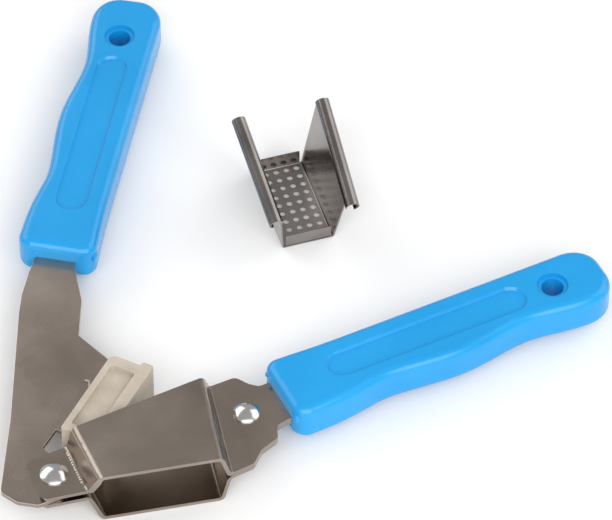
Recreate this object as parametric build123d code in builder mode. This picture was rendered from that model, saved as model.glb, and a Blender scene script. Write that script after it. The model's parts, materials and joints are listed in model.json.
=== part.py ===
from build123d import *
import os
from math import cos, radians, sin, sqrt, tan

# Garlic press, millimetres, lying flat and open on a table.
# X runs along the chamber arm from the pivot to its handle, Z is up, and z = 0 is the table.
# Everything is drawn from two arm planes through the middle of the press and one plane
# for the loose basket that stands beside it.

# ---- driving dimensions ----
PIVOT_X = -86.185          # pivot axis, from the middle of the whole part's box
PIVOT_Y = -75.838
OPEN_ANGLE = 53.6          # between the two arms as modelled

STEEL = 1.3                # chamber strap sheet
PLATE = 1.5                # plunger arm plate
EAR_GAP = 1.8              # space between the ears, for the plate
CHAMBER_HEIGHT = 20.0      # over both straps
MID_Z = CHAMBER_HEIGHT / 2
BEND = 1.2                 # inside radius of the strap bends
FLATTEN = 0.02             # the roofs are rolled flat by this much
SHEET_X = (-20.0, 175.0)   # the strap's sheet along and across the arm, before it is trimmed
SHEET_Y = (20.0, -32.0)
SHOULDER_X = (56.0, 77.0)  # stretch of the strap that its stepped shoulders take up
STRAP_ROUND = 2.6          # corners of the ears and the shoulders
TAIL_ROUND = 2.5           # corners of the plate's tail

HANDLE_LENGTH = 113.8
HANDLE_THICK = 13.0
HANDLE_EDGE = 2.9          # rounding of the long edges
TIP_SQUARE = 1.2           # how full the two corners of a tip are
CHAMBER_HANDLE_X = 75.4    # front end of each handle along its arm
PLUNGER_HANDLE_X = 87.6
PLUNGER_HANDLE_Y = 15.2    # sideways offset of the mirrored handle
PLUNGER_HANDLE_TURN = -0.9  # its slant from the plunger arm's axis, degrees
GROOVE_X = 51.5            # finger groove, from the handle's front end
GROOVE_Y = -2.3
GROOVE_LENGTH = 69.5
GROOVE_WIDTH = 10.4
GROOVE_DEPTH = 0.9
GROOVE_TAPER = 35          # slope of its walls, degrees
HOLE_X = 95.6              # hang hole, from the handle's front end
HOLE_Y = -2.8
HOLE_RADIUS = 3.6
HOLE_RIM_RADIUS = 5.0
HOLE_RIM_DEPTH = 1.1
TANG_WIDTH = 12.0
TANG_Y = -3.2
TANG_END = 82.0            # how far the steel reaches into the handle

PIVOT_HEAD = 4.35          # rivet head radii
STRAP_HEAD = 4.15
RIVET_SHANK = 2.45
HEAD_HEIGHT = 1.9
HEAD_RIM = 0.4
STRAP_RIVET_X = 63.6
STRAP_RIVET_Y = -3.4
PIN_FIT = 0.05             # radial clearance of the plate on the pivot rivet

PLUNGER_ANGLE = -16.6      # plunger seat, from the plunger arm's axis
PLUNGER_X = 13.1
PLUNGER_Y = 1.2
PLUNGER_START = 1.1        # along the seat
PLUNGER_END = 34.6
PLUNGER_DEPTH = 14.0
PLUNGER_WIDTH = 14.6
FOOT_START = 3.2
FOOT_END = 36.2
FOOT_TOP = 10.2
POCKET_START = 4.4
POCKET_END = 31.0
POCKET_ROUND = 1.0
PLUNGER_EDGE = 0.7
PLUNGER_ROUND = 2.4        # its outer far corner
RIB_THICK = 2.0
POCKET_DEPTH = 1.7
PEG_RADIUS = 1.6
BLADE_DEPTH = 7.0          # plate edge inside the plunger
PEG_PLACES = (11.0, 27.0)  # nylon pegs through the blade

BASKET_X = 119.6           # middle of the basket floor, from the pivot
BASKET_Y = 77.9
BASKET_ANGLE = -99.1       # direction from the tall end to the short end
BASKET_SHEET = 0.5
BASKET_LENGTH = 34.2
BASKET_WIDTH = 17.3
BASKET_END_WALL = 5.4
BASKET_BEND = 0.9          # outside radius of its folds
TAB_INSET = 1.0            # each end tab stops this far inside the walls
TAB_FLARE = 0.3            # and leans outward by this much
WALL_BLANK = 40.0          # height of the folded walls before they are trimmed
WALL_TALL = 31.2
WALL_SHORT = 20.2
TALL_LEAN = 5.0            # wall ends lean towards the short end
SHORT_LEAN = 5.2
SPLAY = 6.5                # degrees each wall leans outward when free
LIP_RADIUS = 2.3
LIP_OVERHANG = 2.4
LIP_ARC = (200, -265)      # where the roll starts and how far it turns, degrees
HOLE_ROWS = 9
HOLE_COLUMNS = 4
SIEVE_ROW = 3.6
SIEVE_COLUMN = 3.4
SIEVE_SHIFT_X = -0.4
SIEVE_SHIFT_Y = 0.9
SIEVE_RADIUS = 1.02

PIVOT = Vector(PIVOT_X, PIVOT_Y, MID_Z)
ARM = Plane(origin=PIVOT, x_dir=(1, 0, 0), z_dir=(0, 0, 1))
OPEN_X = (cos(radians(OPEN_ANGLE)), sin(radians(OPEN_ANGLE)), 0)
SWUNG = Plane(origin=PIVOT, x_dir=OPEN_X, z_dir=(0, 0, 1))

os.makedirs("parts", exist_ok=True)


# ---- outlines ----
def bend_lines(along):
    """Where the strap's four bends lie, at a sideways place on the arm."""
    return (
        7.4 + 0.072 * along,
        9.9 + 0.037 * along,
        52.5 + 0.264 * along,
        55.0 + 0.264 * along,
    )


def strap_section(side, along):
    """Cross-section of one strap: ear, rise, roof, fall and tang, one sheet thick."""
    ear_bend, rise_bend, fall_bend, tang_bend = bend_lines(along)
    ear = EAR_GAP / 2 + STEEL
    path = [
        (SHEET_X[0], side * ear),
        (ear_bend, side * ear),
        (rise_bend, side * (MID_Z + FLATTEN)),
        (fall_bend, side * (MID_Z + FLATTEN)),
        (tang_bend, side * STEEL),
        (SHEET_X[1], side * STEEL),
    ]
    radii = [BEND, BEND + STEEL, BEND + STEEL, BEND]
    here = Plane(origin=PIVOT + Vector(0, along, 0), x_dir=(1, 0, 0), z_dir=(0, -1, 0))
    with BuildSketch(here) as section:
        with BuildLine() as line:
            outer = FilletPolyline(*path, radius=radii)
            offset(outer, amount=STEEL, side=Side.RIGHT if side > 0 else Side.LEFT)
        make_face()
    return section.sketch


def strap_plan(plane):
    """Outline of a strap seen from above, with the tang that the handle hides."""
    end = CHAMBER_HANDLE_X + TANG_END
    near = TANG_Y - TANG_WIDTH / 2
    far = TANG_Y + TANG_WIDTH / 2
    with BuildSketch(plane) as plan:
        with BuildLine():
            Polyline(
                (-6.6, 8.2), (8.0, 8.3), (55.0, 9.0), (57.6, 11.3), (66.8, 11.2),
                (69.4, 6.9), (71.8, 4.6), (76.5, 4.6), (end, far), (end, near),
                (76.5, -11.4), (73.6, -11.4), (69.4, -12.2), (68.2, -16.6), (61.4, -18.7),
                (57.0, -22.6), (46.4, -23.2), (9.6, -13.6), (6.7, -10.6), (-7.5, -7.7),
                close=True,
            )
        make_face()
        ear_corners = plan.vertices().sort_by(Axis.X)[0:2]
        fillet(ear_corners, STRAP_ROUND)
        shoulders = plan.vertices().filter_by_position(Axis.X, *SHOULDER_X)
        fillet(shoulders, STRAP_ROUND)
    return plan.sketch


def handle_outline():
    """One grip seen from above: straight inner side, waved outer side, blunt tip."""
    with BuildSketch() as grip:
        with BuildLine():
            Line((0, -11.2), (0, 5.4))
            ThreePointArc((0, 5.4), (1.2, 8.4), (4.2, 9.6))
            Spline((4.2, 9.6), (14, 9.2), (30, 8.9), tangents=((1, 0), (1, 0)))
            Line((30, 8.9), (104, 8.9))
            Spline((104, 8.9), (HANDLE_LENGTH, 0), tangents=((1, 0), (0, -1)),
                   tangent_scalars=(TIP_SQUARE, TIP_SQUARE))
            Line((HANDLE_LENGTH, 0), (HANDLE_LENGTH, -5))
            Spline((HANDLE_LENGTH, -5), (104, -14), tangents=((0, -1), (-1, 0)),
                   tangent_scalars=(TIP_SQUARE, TIP_SQUARE))
            Spline((104, -14), (83, -11.8), (60, -14.6), (33, -12.9), (6, -15.6),
                   tangents=((-1, 0), (-1, 0)))
            ThreePointArc((6, -15.6), (1.5, -14.2), (0, -11.2))
        make_face()
    return grip.sketch


def on_seat(along, deep):
    """A point of the plunger arm, from the plunger's own corner."""
    turn = radians(PLUNGER_ANGLE)
    return (
        PLUNGER_X + along * cos(turn) + deep * sin(turn),
        PLUNGER_Y + along * sin(turn) - deep * cos(turn),
    )


def plate_outline(plane):
    """The flat plunger arm: round tail, notch, blade inside the plunger, neck and tang."""
    end = PLUNGER_HANDLE_X + TANG_END
    middle = PLUNGER_HANDLE_Y - TANG_Y
    with BuildSketch(plane) as plate:
        with BuildLine():
            Polyline(
                (80.5, 25.4), (71.5, 25.6), (64.0, 24.9), (44.0, 21.8), (20.0, 18.1),
                (-8.6, 15.0), (-11.6, 9.0), (-11.6, 2.4), (-7.0, -4.0), (-1.5, -6.2),
                (4.0, -5.6), (7.6, -1.6), (9.3, 3.8), (10.8, 6.0), (18.8, 3.4),
                on_seat(5.0, BLADE_DEPTH), on_seat(34.0, BLADE_DEPTH), on_seat(36.4, -0.4),
                (57.6, 4.3), (72.3, 6.4), (77.0, 8.2), (81.5, 10.0),
                (90.0, middle - TANG_WIDTH / 2), (end, middle - TANG_WIDTH / 2),
                (end, middle + TANG_WIDTH / 2), (90.0, middle + TANG_WIDTH / 2),
                close=True,
            )
        make_face()
        tail = plate.vertices().sort_by_distance((-9.7, 5.4, 0))[0:4]
        fillet(tail, TAIL_ROUND)
    return plate.sketch


def rivet(x, y, seat, head):
    """A rivet with a domed head on each side of the metal it clamps."""
    crown = seat + HEAD_HEIGHT
    dome = HEAD_HEIGHT - HEAD_RIM
    curve = (head ** 2 + dome ** 2) / (2 * dome)
    drop = curve - sqrt(curve ** 2 - head ** 2 / 4)
    with BuildPart() as pin:
        here = Plane(origin=PIVOT + Vector(x, y, 0), x_dir=(1, 0, 0), z_dir=(0, -1, 0))
        with BuildSketch(here):
            with BuildLine():
                Line((0, 0), (RIVET_SHANK, 0))
                Line((RIVET_SHANK, 0), (RIVET_SHANK, seat))
                Line((RIVET_SHANK, seat), (head, seat))
                Line((head, seat), (head, seat + HEAD_RIM))
                ThreePointArc((head, seat + HEAD_RIM), (head / 2, crown - drop),
                              (0, crown))
                Line((0, crown), (0, 0))
            make_face()
        revolve(axis=Axis(here.origin, (0, 0, 1)))
        mirror(about=ARM)
    return pin.part


# ---- the plastic grip, drawn once about its own front end and used on both arms ----
with BuildPart() as grip:
    extrude(handle_outline(), amount=HANDLE_THICK / 2, both=True)
    flats = grip.faces().sort_by(Axis.Z)
    fillet(flats[0].edges() + flats[-1].edges(), HANDLE_EDGE)
    for side in (1, -1):
        top = Plane.XY.offset(side * HANDLE_THICK / 2)
        with BuildSketch(top) as groove:
            with Locations((GROOVE_X, GROOVE_Y)):
                SlotOverall(GROOVE_LENGTH, GROOVE_WIDTH)
        extrude(groove.sketch, amount=-side * GROOVE_DEPTH, taper=GROOVE_TAPER,
                mode=Mode.SUBTRACT)
        with BuildSketch(top) as rim:
            with Locations((HOLE_X, HOLE_Y)):
                Circle(HOLE_RIM_RADIUS)
        extrude(rim.sketch, amount=-side * HOLE_RIM_DEPTH, mode=Mode.SUBTRACT)
    with Locations((HOLE_X, HOLE_Y, 0)):
        Cylinder(HOLE_RADIUS, 2 * HANDLE_THICK, mode=Mode.SUBTRACT)

# ---- chamber: two mirrored straps, riveted behind the chamber ----
with BuildPart() as upper_chamber_strap:
    loft([strap_section(1, along) for along in SHEET_Y], ruled=True)
    extrude(strap_plan(ARM), amount=MID_Z, mode=Mode.INTERSECT)
    with Locations(ARM):
        Cylinder(RIVET_SHANK, 2 * CHAMBER_HEIGHT, mode=Mode.SUBTRACT)
    with Locations(Location(PIVOT + Vector(STRAP_RIVET_X, STRAP_RIVET_Y, 0))):
        Cylinder(RIVET_SHANK, 2 * CHAMBER_HEIGHT, mode=Mode.SUBTRACT)

with BuildPart() as lower_chamber_strap:
    mirror(upper_chamber_strap.part, about=ARM)

with BuildPart() as pivot_rivet:
    add(rivet(0, 0, EAR_GAP / 2 + STEEL, PIVOT_HEAD))

with BuildPart() as strap_rivet:
    add(rivet(STRAP_RIVET_X, STRAP_RIVET_Y, STEEL, STRAP_HEAD))

with BuildPart() as chamber_handle:
    base = Plane(origin=PIVOT + Vector(CHAMBER_HANDLE_X, 0, 0), x_dir=(1, 0, 0))
    add(grip.part.moved(base.location))
    add([upper_chamber_strap.part, lower_chamber_strap.part], mode=Mode.SUBTRACT)

# ---- plunger arm ----
with BuildPart() as plunger_arm_plate:
    extrude(plate_outline(SWUNG), amount=PLATE / 2, both=True)
    with Locations(SWUNG):
        Cylinder(RIVET_SHANK + PIN_FIT, 4 * PLATE, mode=Mode.SUBTRACT)
        for along in PEG_PLACES:
            with Locations(on_seat(along, BLADE_DEPTH / 2)):
                Cylinder(PEG_RADIUS, 4 * PLATE, mode=Mode.SUBTRACT)

with BuildPart() as plunger_arm_handle:
    slant = radians(OPEN_ANGLE + PLUNGER_HANDLE_TURN)
    base = Plane(
        origin=SWUNG.from_local_coords((PLUNGER_HANDLE_X, PLUNGER_HANDLE_Y, 0)),
        x_dir=(cos(slant), sin(slant), 0),
        z_dir=(0, 0, -1),
    )
    add(grip.part.moved(base.location))
    add(plunger_arm_plate.part, mode=Mode.SUBTRACT)

with BuildPart() as plunger:
    with BuildSketch(SWUNG.offset(-PLUNGER_WIDTH / 2)) as block:
        with BuildLine():
            Polyline(
                on_seat(PLUNGER_START, 0), on_seat(PLUNGER_END, 0),
                on_seat(PLUNGER_END, FOOT_TOP), on_seat(FOOT_END, FOOT_TOP),
                on_seat(FOOT_END, PLUNGER_DEPTH), on_seat(FOOT_START, PLUNGER_DEPTH),
                on_seat(FOOT_START, FOOT_TOP), close=True,
            )
        make_face()
    extrude(block.sketch, amount=PLUNGER_WIDTH)
    far_corner = SWUNG.from_local_coords(on_seat(PLUNGER_END, 0))
    uprights = plunger.edges().filter_by(Axis.Z).sort_by_distance(far_corner)
    fillet(uprights[1:], PLUNGER_EDGE)
    fillet(plunger.edges().filter_by(Axis.Z).sort_by_distance(far_corner)[0], PLUNGER_ROUND)
    for side in (1, -1):
        with BuildSketch(SWUNG.offset(side * PLUNGER_WIDTH / 2)) as pocket:
            with BuildLine():
                Polyline(
                    on_seat(POCKET_START, RIB_THICK), on_seat(POCKET_END, RIB_THICK),
                    on_seat(POCKET_END, FOOT_TOP), on_seat(POCKET_START, FOOT_TOP),
                    close=True,
                )
            make_face()
            fillet(pocket.vertices(), POCKET_ROUND)
        extrude(pocket.sketch, amount=-side * POCKET_DEPTH, mode=Mode.SUBTRACT)
    add(plunger_arm_plate.part, mode=Mode.SUBTRACT)

# ---- loose sieve basket ----
SHORTWARD = Vector(cos(radians(BASKET_ANGLE)), sin(radians(BASKET_ANGLE)), 0)
BASKET_FLOOR = Vector(PIVOT_X + BASKET_X, PIVOT_Y + BASKET_Y, 0)
FLOOR = Plane(origin=BASKET_FLOOR, x_dir=SHORTWARD, z_dir=(0, 0, 1))
ACROSS = Plane(origin=BASKET_FLOOR, x_dir=FLOOR.y_dir, z_dir=SHORTWARD)
ALONG = Plane(origin=BASKET_FLOOR, x_dir=SHORTWARD, z_dir=-FLOOR.y_dir)

with BuildPart() as sieve_basket:
    half = BASKET_WIDTH / 2
    spread = WALL_BLANK * tan(radians(SPLAY))
    with BuildSketch(ACROSS) as trough:
        with BuildLine():
            sides = FilletPolyline((-half - spread, WALL_BLANK), (-half, 0), (half, 0),
                                   (half + spread, WALL_BLANK), radius=BASKET_BEND)
            offset(sides, amount=BASKET_SHEET, side=Side.LEFT)
        make_face()
    extrude(trough.sketch, amount=BASKET_LENGTH, both=True)
    with BuildSketch(ALONG) as cheek:
        with BuildLine():
            Polyline(
                (-BASKET_LENGTH / 2, -1), (BASKET_LENGTH / 2, -1), (BASKET_LENGTH / 2, 0),
                (BASKET_LENGTH / 2 + SHORT_LEAN, WALL_SHORT),
                (-BASKET_LENGTH / 2 + TALL_LEAN, WALL_TALL), (-BASKET_LENGTH / 2, 0),
                close=True,
            )
        make_face()
    extrude(cheek.sketch, amount=2 * BASKET_WIDTH, both=True, mode=Mode.INTERSECT)
    with BuildSketch(ALONG) as ends:
        with BuildLine():
            low = FilletPolyline((-BASKET_LENGTH / 2 - TAB_FLARE, BASKET_END_WALL),
                                 (-BASKET_LENGTH / 2, 0), (BASKET_LENGTH / 2, 0),
                                 (BASKET_LENGTH / 2 + TAB_FLARE, BASKET_END_WALL),
                                 radius=BASKET_BEND)
            offset(low, amount=BASKET_SHEET, side=Side.LEFT)
        make_face()
    extrude(ends.sketch, amount=half - TAB_INSET, both=True)
    with BuildSketch(FLOOR) as holes:
        with Locations((SIEVE_SHIFT_X, SIEVE_SHIFT_Y)):
            with GridLocations(SIEVE_ROW, SIEVE_COLUMN, HOLE_ROWS, HOLE_COLUMNS):
                Circle(SIEVE_RADIUS)
    extrude(holes.sketch, amount=2 * BASKET_SHEET, both=True, mode=Mode.SUBTRACT)
    splay = radians(SPLAY)
    tall = FLOOR.from_local_coords((
        -BASKET_LENGTH / 2 + TALL_LEAN, half + WALL_TALL * tan(splay), WALL_TALL))
    short = FLOOR.from_local_coords((
        BASKET_LENGTH / 2 + SHORT_LEAN, half + WALL_SHORT * tan(splay), WALL_SHORT))
    outward = FLOOR.y_dir * cos(splay) - Vector(0, 0, 1) * sin(splay)
    LIP = Plane(origin=tall, x_dir=outward, z_dir=short - tall)
    with BuildSketch(LIP.offset(-LIP_OVERHANG / 3)) as curl:
        with BuildLine() as roll:
            CenterArc((LIP_RADIUS - BASKET_SHEET, 0), LIP_RADIUS - BASKET_SHEET / 2, *LIP_ARC)
        trace(roll.line, line_width=BASKET_SHEET)
    lip = extrude(curl.sketch, amount=(short - tall).length + LIP_OVERHANG)
    mirror(lip, about=ALONG)

# ---- files ----
upper_chamber_strap.part.label = "upper_chamber_strap"
lower_chamber_strap.part.label = "lower_chamber_strap"
pivot_rivet.part.label = "pivot_rivet"
strap_rivet.part.label = "strap_rivet"
chamber_handle.part.label = "chamber_handle"
plunger_arm_plate.part.label = "plunger_arm_plate"
plunger_arm_handle.part.label = "plunger_arm_handle"
plunger.part.label = "plunger"
sieve_basket.part.label = "sieve_basket"

export_step(upper_chamber_strap.part, "parts/upper_chamber_strap.step")
export_step(lower_chamber_strap.part, "parts/lower_chamber_strap.step")
export_step(pivot_rivet.part, "parts/pivot_rivet.step")
export_step(strap_rivet.part, "parts/strap_rivet.step")
export_step(chamber_handle.part, "parts/chamber_handle.step")
export_step(plunger_arm_plate.part, "parts/plunger_arm_plate.step")
export_step(plunger_arm_handle.part, "parts/plunger_arm_handle.step")
export_step(plunger.part, "parts/plunger.step")
export_step(sieve_basket.part, "parts/sieve_basket.step")
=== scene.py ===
import json
import math

import bmesh
import bpy
from mathutils import Matrix, Vector


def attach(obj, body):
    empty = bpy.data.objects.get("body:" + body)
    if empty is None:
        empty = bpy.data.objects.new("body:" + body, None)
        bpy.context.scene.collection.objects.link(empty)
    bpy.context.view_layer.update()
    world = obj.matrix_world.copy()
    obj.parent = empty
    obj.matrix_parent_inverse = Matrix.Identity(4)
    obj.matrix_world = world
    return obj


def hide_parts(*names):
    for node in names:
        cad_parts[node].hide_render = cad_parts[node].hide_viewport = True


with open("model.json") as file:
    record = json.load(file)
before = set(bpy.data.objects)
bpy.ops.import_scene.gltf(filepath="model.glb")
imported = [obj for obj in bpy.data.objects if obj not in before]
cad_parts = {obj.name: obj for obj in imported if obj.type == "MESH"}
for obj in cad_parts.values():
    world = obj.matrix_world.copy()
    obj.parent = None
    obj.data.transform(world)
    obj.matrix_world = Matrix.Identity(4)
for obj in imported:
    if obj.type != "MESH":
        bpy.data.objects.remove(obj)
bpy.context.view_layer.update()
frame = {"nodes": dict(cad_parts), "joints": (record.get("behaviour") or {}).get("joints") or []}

# Garlic press lying open on a table, its loose sieve basket standing beside it.
# Metres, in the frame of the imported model: +X along the chamber arm, Z up, table at z = 0.

MM = 0.001
OPEN = math.radians(53.6)  # between the two arms at rest
HINGE = next(j for j in frame["joints"] if j["name"] == "arm_hinge")
PIVOT = Vector(HINGE["pos_m"])

# each arm's own axes: X along the arm from the pivot, Z up from the middle of the press
ARM = Matrix.Translation(PIVOT)
SWUNG = Matrix.Translation(PIVOT) @ Matrix.Rotation(OPEN, 4, "Z")

FRAME_BODY = "chamber_frame"
ARM_BODY = "plunger_arm"
BASKET_BODY = "basket"

# ---- camera ----
AZIMUTH = -26.4            # degrees; 0 looks along +Y
ELEVATION = 48.0
LOOK_AT = PIVOT + Vector((108.85, 46.35, 0)) * MM
DISTANCE = 1587.3 * MM
IMAGE_WIDTH = 612
FOCAL = 5000               # a long lens, in the same unit as the image's width
SENSOR = 36                # mm
CLIP_END = 20


def look_from(azimuth, elevation, target, distance, lens):
    """A camera on the photograph's line of sight."""
    a, e = math.radians(azimuth), math.radians(elevation)
    back = Vector((math.sin(a) * math.cos(e), -math.cos(a) * math.cos(e), math.sin(e)))
    right = Vector((math.cos(a), math.sin(a), 0))
    up = back.cross(right)
    turn = Matrix((right, up, back)).transposed().to_4x4()
    data = bpy.data.cameras.new("camera")
    data.lens = lens
    data.sensor_width = SENSOR
    data.clip_end = CLIP_END
    camera = bpy.data.objects.new("camera", data)
    camera.matrix_world = Matrix.Translation(target + back * distance) @ turn
    bpy.context.scene.collection.objects.link(camera)
    bpy.context.scene.camera = camera


look_from(AZIMUTH, ELEVATION, LOOK_AT, DISTANCE, FOCAL / IMAGE_WIDTH * SENSOR)

# ---- small tools for materials ----
NOISE_LOW = 0.3            # nearly all of a noise texture's values lie between these
NOISE_HIGH = 0.7


def nodes_of(name):
    """A new material with an empty Principled shader: (material, node adder, linker, shader)."""
    mat = bpy.data.materials.new(name)
    mat.use_nodes = True
    tree = mat.node_tree
    tree.nodes.clear()
    out = tree.nodes.new("ShaderNodeOutputMaterial")
    shader = tree.nodes.new("ShaderNodeBsdfPrincipled")
    tree.links.new(shader.outputs[0], out.inputs[0])

    def add(kind, **values):
        node = tree.nodes.new(kind)
        for key, value in values.items():
            setattr(node, key, value)
        return node

    return mat, add, tree.links.new, shader


def noise(add, link, where, scale, detail, rough=0.55):
    """Fractal noise with `scale` features to the metre."""
    node = add("ShaderNodeTexNoise")
    link(where, node.inputs["Vector"])
    node.inputs["Scale"].default_value = scale
    node.inputs["Detail"].default_value = detail
    node.inputs["Roughness"].default_value = rough
    return node.outputs["Fac"]


def placed(add, link, stretch=(1, 1, 1), turn=0.0):
    """Object coordinates, turned to the piece's own grain and stretched along it."""
    coords = add("ShaderNodeTexCoord")
    spin = add("ShaderNodeMapping", vector_type="TEXTURE")
    spin.inputs["Rotation"].default_value = (0, 0, turn)
    link(coords.outputs["Object"], spin.inputs["Vector"])
    size = add("ShaderNodeMapping")
    size.inputs["Scale"].default_value = stretch
    link(spin.outputs[0], size.inputs["Vector"])
    return size.outputs[0]


def ramp(add, link, value, dark, light, start=NOISE_LOW, end=NOISE_HIGH):
    """A colour that goes from dark to light as the value goes from start to end."""
    node = add("ShaderNodeValToRGB")
    link(value, node.inputs[0])
    bands = node.color_ramp.elements
    for band, place, colour in zip(bands, (start, end), (dark, light)):
        band.position = place
        band.color = (*colour, 1)
    return node.outputs[0]


def between(add, link, value, low, high, start=NOISE_LOW, end=NOISE_HIGH):
    """A number that goes from low to high as the value goes from start to end."""
    node = add("ShaderNodeMapRange")
    link(value, node.inputs["Value"])
    node.inputs["From Min"].default_value = start
    node.inputs["From Max"].default_value = end
    node.inputs["To Min"].default_value = low
    node.inputs["To Max"].default_value = high
    return node.outputs[0]


def bump(add, link, height, strength, distance, after=None):
    """A bumped normal, on top of the one in `after` if there is one."""
    node = add("ShaderNodeBump")
    node.inputs["Strength"].default_value = strength
    node.inputs["Distance"].default_value = distance
    link(height, node.inputs["Height"])
    if after is not None:
        link(after, node.inputs["Normal"])
    return node.outputs[0]


# ---- materials ----
ROLLED = (1, 22, 22)       # rolling streaks are this much finer across than along
EVEN = (1, 1, 1)
STREAK_SHARE = 0.14        # how much of a steel's colour comes from its streaks
NICK_SIZE = 0.45 * MM      # half width, and spacing, of the bending tool's nicks


def steel(name, dark, light, rough, turn, grain=ROLLED, cloud=45, scratch=0.02, nicks=None):
    """Rolled nickel-plated sheet: faint rolling streaks, soft cloudy patches, fine pits."""
    mat, add, link, shader = nodes_of(name)
    along = placed(add, link, grain, turn)
    plain = placed(add, link)
    patches = noise(add, link, plain, scale=cloud, detail=4)
    streaks = noise(add, link, along, scale=260, detail=5, rough=0.7)
    pits = noise(add, link, plain, scale=3600, detail=2)
    mixed = add("ShaderNodeMix", data_type="FLOAT")
    mixed.inputs[0].default_value = STREAK_SHARE
    link(patches, mixed.inputs[2])
    link(streaks, mixed.inputs[3])
    link(ramp(add, link, mixed.outputs[0], dark, light), shader.inputs["Base Color"])
    shader.inputs["Metallic"].default_value = 1.0
    link(between(add, link, patches, low=rough - 0.03, high=rough + 0.04),
         shader.inputs["Roughness"])
    rolled = bump(add, link, streaks, strength=scratch, distance=0.02 * MM)
    link(bump(add, link, pits, strength=0.08, distance=0.02 * MM, after=rolled),
         shader.inputs["Normal"])
    if nicks is not None:
        tool_marks(add, link, shader, *nicks)
    return mat


def tool_marks(add, link, shader, where, span):
    """Short nicks left by the bending tool in a line across the strap: a row of bumps."""
    coords = add("ShaderNodeTexCoord")
    axes = add("ShaderNodeSeparateXYZ")
    link(coords.outputs["Object"], axes.inputs[0])

    def near(value, middle, half):
        node = add("ShaderNodeMath", operation="COMPARE")
        link(value, node.inputs[0])
        node.inputs[1].default_value = middle
        node.inputs[2].default_value = half
        return node.outputs[0]

    def times(a, b):
        node = add("ShaderNodeMath", operation="MULTIPLY")
        link(a, node.inputs[0])
        link(b, node.inputs[1])
        return node.outputs[0]

    wave = add("ShaderNodeMath", operation="PINGPONG")
    link(axes.outputs["Y"], wave.inputs[0])
    wave.inputs[1].default_value = NICK_SIZE
    height = between(add, link, wave.outputs[0], low=0, high=1, start=0, end=NICK_SIZE)
    mask = times(near(axes.outputs["X"], where[0], NICK_SIZE),
                 near(axes.outputs["Y"], where[1], span))
    before = shader.inputs["Normal"].links[0].from_socket
    link(bump(add, link, times(height, mask), strength=0.9, distance=0.22 * MM, after=before),
         shader.inputs["Normal"])


def plastic(name, dark, light):
    """Glossy moulded plastic: faint flow patches, very slight sink and orange peel."""
    mat, add, link, shader = nodes_of(name)
    plain = placed(add, link)
    flow = noise(add, link, plain, scale=38, detail=3)
    peel = noise(add, link, plain, scale=520, detail=3)
    grain = noise(add, link, plain, scale=4200, detail=2)
    link(ramp(add, link, flow, dark, light), shader.inputs["Base Color"])
    link(between(add, link, peel, low=0.21, high=0.26), shader.inputs["Roughness"])
    shader.inputs["IOR"].default_value = 1.5
    shader.inputs["Specular IOR Level"].default_value = 0.5
    peeled = bump(add, link, peel, strength=0.03, distance=0.06 * MM)
    link(bump(add, link, grain, strength=0.03, distance=0.01 * MM, after=peeled),
         shader.inputs["Normal"])
    return mat


def nylon(name, dark, light):
    """Natural nylon: milky, a little yellow where it is thick, with faint flow marks."""
    mat, add, link, shader = nodes_of(name)
    plain = placed(add, link)
    flow = noise(add, link, plain, scale=120, detail=4)
    grain = noise(add, link, plain, scale=1500, detail=3)
    link(ramp(add, link, flow, dark, light), shader.inputs["Base Color"])
    link(between(add, link, grain, low=0.32, high=0.48), shader.inputs["Roughness"])
    shader.inputs["Subsurface Weight"].default_value = 0.35
    shader.inputs["Subsurface Radius"].default_value = (1.0, 0.9, 0.7)
    shader.inputs["Subsurface Scale"].default_value = 2 * MM
    link(bump(add, link, grain, strength=0.12, distance=0.05 * MM), shader.inputs["Normal"])
    return mat


EAR_BEND = (PIVOT.x + 6.8 * MM, PIVOT.y - 1.0 * MM)   # middle of the nicks on an ear
EAR_BEND_SPAN = 7.5 * MM                              # how far they run each way
BASKET_GRAIN = math.radians(-99.1)                    # along the basket's floor

STRAP = steel("strap_nickel", (0.30, 0.253, 0.216), (0.40, 0.343, 0.296), 0.24, 0.0,
              nicks=(EAR_BEND, EAR_BEND_SPAN))
PLATE = steel("plate_nickel", (0.30, 0.253, 0.216), (0.43, 0.368, 0.317), 0.28, OPEN)
RIVET = steel("rivet_bright", (0.62, 0.62, 0.61), (0.76, 0.76, 0.75), 0.20, 0.0, grain=EVEN)
SIEVE = steel("basket_stainless", (0.18, 0.162, 0.153), (0.34, 0.315, 0.301), 0.20,
              BASKET_GRAIN, scratch=0.12)
# painted highlight: a pale colour for the bevelled sheet edges and the tool nicks, standing in
# for the bright glint along them
PAINTED_EDGE_HIGHLIGHT = steel("painted_edge_highlight", (0.60, 0.56, 0.51), (0.86, 0.80, 0.73), 0.30, 0.0,
            grain=EVEN, cloud=900)
BLUE = plastic("blue_grip", (0.005, 0.285, 0.645), (0.010, 0.318, 0.705))
WHITE = nylon("natural_nylon", (0.44, 0.385, 0.315), (0.56, 0.495, 0.415))

# ---- pieces that stand for the CAD nodes, with the edges the real ones have ----
WELD = 1e-6
FLAT = math.radians(0.6)   # faces that meet at less than this are one face
SHEET_EDGE = 0.16 * MM
SIEVE_EDGE = 0.07 * MM
NYLON_EDGE = 0.5 * MM
GRIP_EDGE = 0.22 * MM
GRIP_ANGLE = 28


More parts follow.
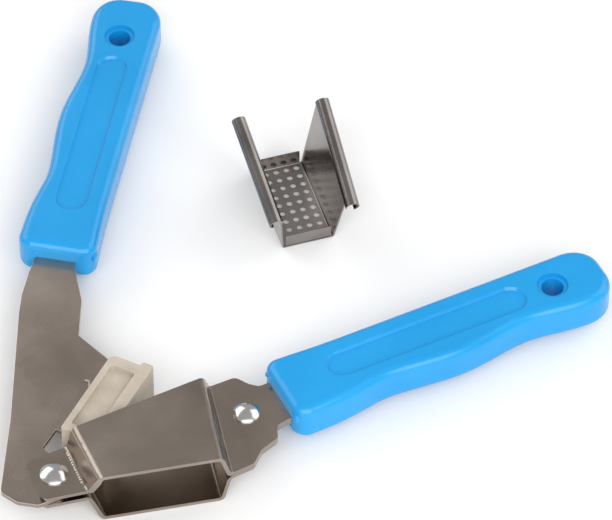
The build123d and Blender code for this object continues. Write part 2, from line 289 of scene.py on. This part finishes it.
def finished(node_name, mat, body, edge, angle=35, segments=2, edge_mat=None):
    """The node's own shape with edges sharper than `angle` degrees rounded by `edge` metres."""
    node = frame["nodes"][node_name]
    mesh = node.data.copy()
    mesh.name = node_name + "_finished"
    mesh.materials.clear()
    mesh.materials.append(mat)
    if edge_mat is not None:
        mesh.materials.append(edge_mat)
    work = bmesh.new()
    work.from_mesh(mesh)
    bmesh.ops.remove_doubles(work, verts=work.verts, dist=WELD)
    bmesh.ops.dissolve_limit(work, angle_limit=FLAT, verts=work.verts, edges=work.edges)
    for face in work.faces:
        face.material_index = 0
        face.smooth = True
    limit = math.radians(angle)
    sharp = [e for e in work.edges if len(e.link_faces) == 2 and e.calc_face_angle(0) > limit]
    # on the sheets the bevel faces take edge_mat, a pale painted highlight along every sharp
    # edge
    bmesh.ops.bevel(work, geom=sharp, offset=edge, segments=segments, affect="EDGES",
                    profile=0.5, clamp_overlap=True, harden_normals=False,
                    material=1 if edge_mat is not None else -1)
    for side in work.edges:
        wide = len(side.link_faces) == 2 and side.calc_face_angle(0) > limit
        side.smooth = not wide
    work.to_mesh(mesh)
    work.free()
    if mesh.has_custom_normals:
        mesh.attributes.remove(mesh.attributes["custom_normal"])
    obj = bpy.data.objects.new(node_name + "_finished", mesh)
    bpy.context.scene.collection.objects.link(obj)
    weighted = obj.modifiers.new("even_normals", "WEIGHTED_NORMAL")
    weighted.keep_sharp = True
    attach(obj, body)
    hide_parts(node_name)


# the sheets' bevelled edges carry the pale painted edge highlight
finished("upper_chamber_strap", STRAP, FRAME_BODY, SHEET_EDGE, edge_mat=PAINTED_EDGE_HIGHLIGHT)
finished("lower_chamber_strap", STRAP, FRAME_BODY, SHEET_EDGE, edge_mat=PAINTED_EDGE_HIGHLIGHT)
finished("plunger_arm_plate", PLATE, ARM_BODY, SHEET_EDGE, edge_mat=PAINTED_EDGE_HIGHLIGHT)
finished("plunger", WHITE, ARM_BODY, NYLON_EDGE, segments=3)
finished("sieve_basket", SIEVE, BASKET_BODY, SIEVE_EDGE, segments=1)
finished("chamber_handle", BLUE, FRAME_BODY, GRIP_EDGE, angle=GRIP_ANGLE)
finished("plunger_arm_handle", BLUE, ARM_BODY, GRIP_EDGE, angle=GRIP_ANGLE)

# the rivets' own shapes are right: they only get a better material
for name in ("pivot_rivet", "strap_rivet"):
    rivet = frame["nodes"][name]
    rivet.data.materials.clear()
    rivet.data.materials.append(RIVET)
    for face in rivet.data.polygons:
        face.material_index = 0

# ---- small things the moulds and tools left ----
UNEVEN = 0.07              # how much a blob's surface waves, of its radius


def lump(work, place, radii, turn, seed):
    """A small rounded blob, a little uneven, added to a mesh."""
    made = bmesh.ops.create_icosphere(work, subdivisions=3, radius=1.0)["verts"]
    spin = Matrix.Rotation(turn, 3, "Z")
    for vert in made:
        wave = 1 + UNEVEN * math.sin(5 * vert.co.x + seed) * math.cos(4 * vert.co.y - seed)
        vert.co = spin @ Vector([c * size * wave for c, size in zip(vert.co, radii)])
        vert.co += Vector(place)


def small_piece(name, lumps, where, mat, body):
    """Blobs placed in an arm's own millimetres, as one piece riding on a body."""
    work = bmesh.new()
    for seed, (place, radii, turn) in enumerate(lumps):
        lump(work, place, radii, math.radians(turn), seed)
    for face in work.faces:
        face.smooth = True
    mesh = bpy.data.meshes.new(name)
    work.to_mesh(mesh)
    work.free()
    mesh.transform(where @ Matrix.Scale(MM, 4))
    mesh.materials.append(mat)
    obj = bpy.data.objects.new(name, mesh)
    bpy.context.scene.collection.objects.link(obj)
    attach(obj, body)


# nicks of the bending tool: a row along the bend of each ear, above and below, coloured with the
# pale painted edge highlight
NICKS = 13
NICK_ROW_START = 6.0
NICK_ROW_LENGTH = 12.6
NICK_RADII = (0.62, 0.27, 0.14)
NICK_TURN = 12             # degrees, one way and the other in turn
EAR_TOP = 2.2              # of the upper ear's outer face, from the middle of the press
for side, label in ((1, "upper"), (-1, "lower")):
    row = []
    for i in range(NICKS):
        y = NICK_ROW_START - NICK_ROW_LENGTH * i / (NICKS - 1)
        x = 6.9 + 0.072 * y
        row.append(((x, y, side * EAR_TOP), NICK_RADII, NICK_TURN * (-1) ** i))
    small_piece(label + "_bend_nicks", row, ARM, PAINTED_EDGE_HIGHLIGHT, FRAME_BODY)

# flash where the grips were filled and trimmed, at their front corners:
# each blob's place, its radii and its turn in degrees
small_piece("chamber_grip_flash", [
    ((75.8, 6.6, 2.6), (0.7, 1.0, 0.7), 0),
    ((75.4, 3.6, 3.4), (0.45, 0.6, 0.5), 20),
    ((76.6, -12.4, 1.8), (1.3, 1.7, 2.1), 35),
], ARM, BLUE, FRAME_BODY)
small_piece("plunger_grip_flash", [
    ((91.0, 5.9, 1.4), (2.2, 0.8, 1.6), 0),
    ((87.9, 24.6, 2.6), (0.6, 0.9, 0.6), 0),
], SWUNG, BLUE, ARM_BODY)

# a shred of nylon that ran out of the mould onto the plate
small_piece("nylon_shred", [
    ((38.4, -3.0, 0.95), (1.5, 0.35, 0.28), 8),
    ((39.6, -2.2, 0.95), (0.4, 1.0, 0.30), -6),
    ((37.0, -3.6, 0.95), (0.6, 0.5, 0.25), 30),
], SWUNG, WHITE, ARM_BODY)

# ---- floor and light ----
FLOOR_HALF = 3.0
FLOOR_DROP = 0.2 * MM      # keeps the floor clear of the faces that rest on it
WORLD_COLOUR = (1, 0.99, 0.98, 1)
WORLD_STRENGTH = 0.45


def floor():
    """A plain pale floor just under the table plane."""
    mat, add, link, shader = nodes_of("pale_floor")
    plain = placed(add, link)
    grain = noise(add, link, plain, scale=30, detail=3)
    link(ramp(add, link, grain, (0.90, 0.90, 0.90), (0.92, 0.92, 0.92), start=0.2, end=0.8),
         shader.inputs["Base Color"])
    shader.inputs["Roughness"].default_value = 0.9
    mesh = bpy.data.meshes.new("floor")
    corners = [(x * FLOOR_HALF, y * FLOOR_HALF, 0)
               for x, y in ((-1, -1), (1, -1), (1, 1), (-1, 1))]
    mesh.from_pydata(corners, [], [(0, 1, 2, 3)])
    obj = bpy.data.objects.new("floor", mesh)
    obj.location.z = -FLOOR_DROP
    mesh.materials.append(mat)
    bpy.context.scene.collection.objects.link(obj)


def lamp(name, place, size, power):
    """A rectangular soft box that faces the middle of the table."""
    data = bpy.data.lights.new(name, "AREA")
    data.shape = "RECTANGLE"
    data.size, data.size_y = size
    data.energy = power
    obj = bpy.data.objects.new(name, data)
    obj.location = place
    obj.rotation_euler = (-Vector(place)).to_track_quat("-Z", "Y").to_euler()
    bpy.context.scene.collection.objects.link(obj)


floor()
lamp("key", (-0.5, -1.4, 1.1), size=(2.4, 1.6), power=38)
lamp("side", (1.4, -0.1, 1.0), size=(1.6, 1.6), power=10)
lamp("back", (-0.6, 1.4, 1.1), size=(2.0, 1.2), power=12)
world = bpy.data.worlds.new("studio")
world.use_nodes = True
sky = world.node_tree.nodes["Background"]
sky.inputs["Color"].default_value = WORLD_COLOUR
sky.inputs["Strength"].default_value = WORLD_STRENGTH
bpy.context.scene.world = world
bpy.context.scene.view_settings.view_transform = "Standard"
bpy.context.scene.view_settings.look = "None"
